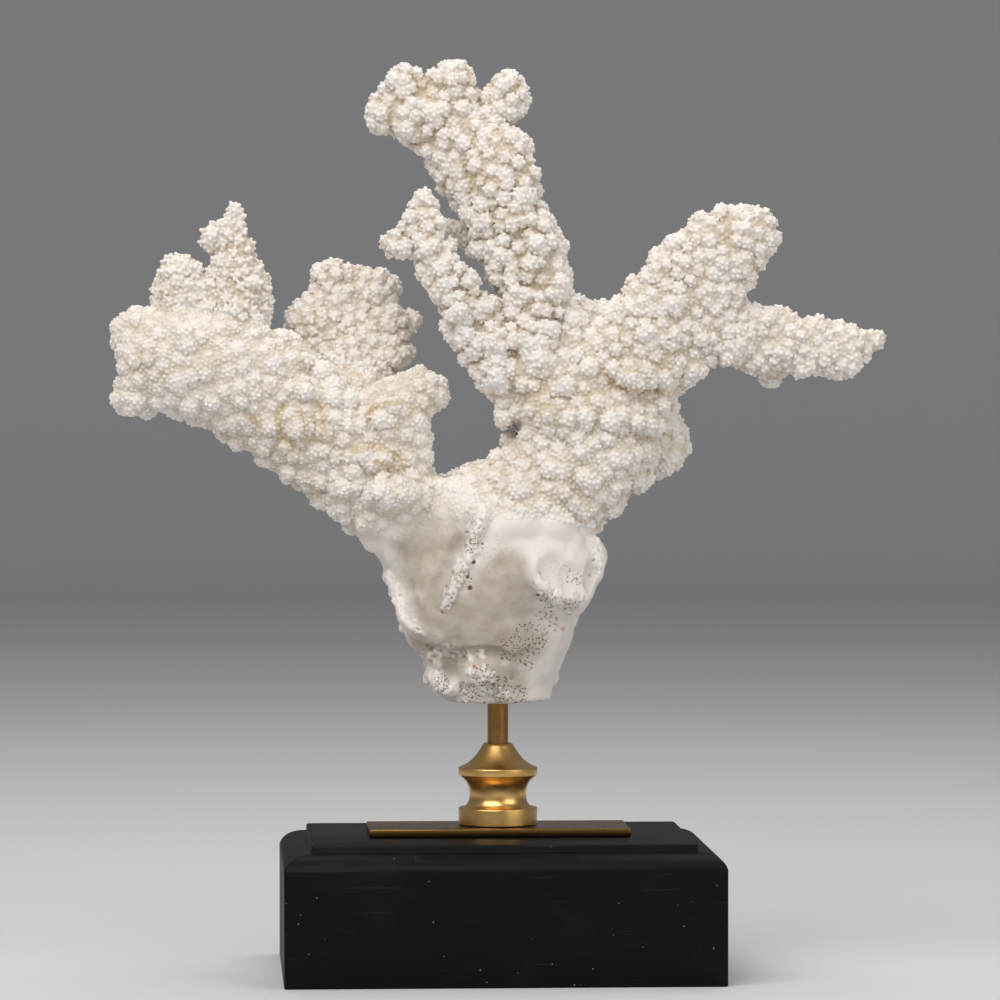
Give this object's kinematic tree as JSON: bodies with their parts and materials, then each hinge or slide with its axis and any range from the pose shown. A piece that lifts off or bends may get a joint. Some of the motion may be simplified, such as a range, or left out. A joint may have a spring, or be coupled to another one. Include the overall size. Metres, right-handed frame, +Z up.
{
  "type": "mounted coral skeleton",
  "caption": "Bleached branching coral skeleton fixed on a turned brass post, with a brass plate and a black moulded wooden block to stand on.",
  "frame": {"origin": "middle of the underside of the wooden block, on the surface that it stands on", "axes": "+Z up along the brass rod, -Y towards the viewer of the coral's best side, +X to that viewer's right"},
  "size_m": [0.2695, 0.11, 0.316],
  "materials": {
    "coral_skeleton": "matt white lime skeleton, whiter at the tips and creamy in its hollows",
    "satin_brass": "turned satin brass with fine lathe lines",
    "black_wood": "satin black paint on wood, with dust and fine scratches"
  },
  "bodies": {
    "root": {"coral_stump": "coral_skeleton", "coral_left_limb": "coral_skeleton", "coral_left_spire": "coral_skeleton", "coral_left_fan": "coral_skeleton", "coral_right_limb": "coral_skeleton", "coral_tall_branch": "coral_skeleton", "coral_crown": "coral_skeleton", "coral_side_branch": "coral_skeleton", "coral_paddle": "coral_skeleton", "coral_spear": "coral_skeleton", "brass_rod": "satin_brass", "brass_collar": "satin_brass", "brass_plate": "satin_brass", "wood_block": "black_wood"}
  },
  "joints": []
}
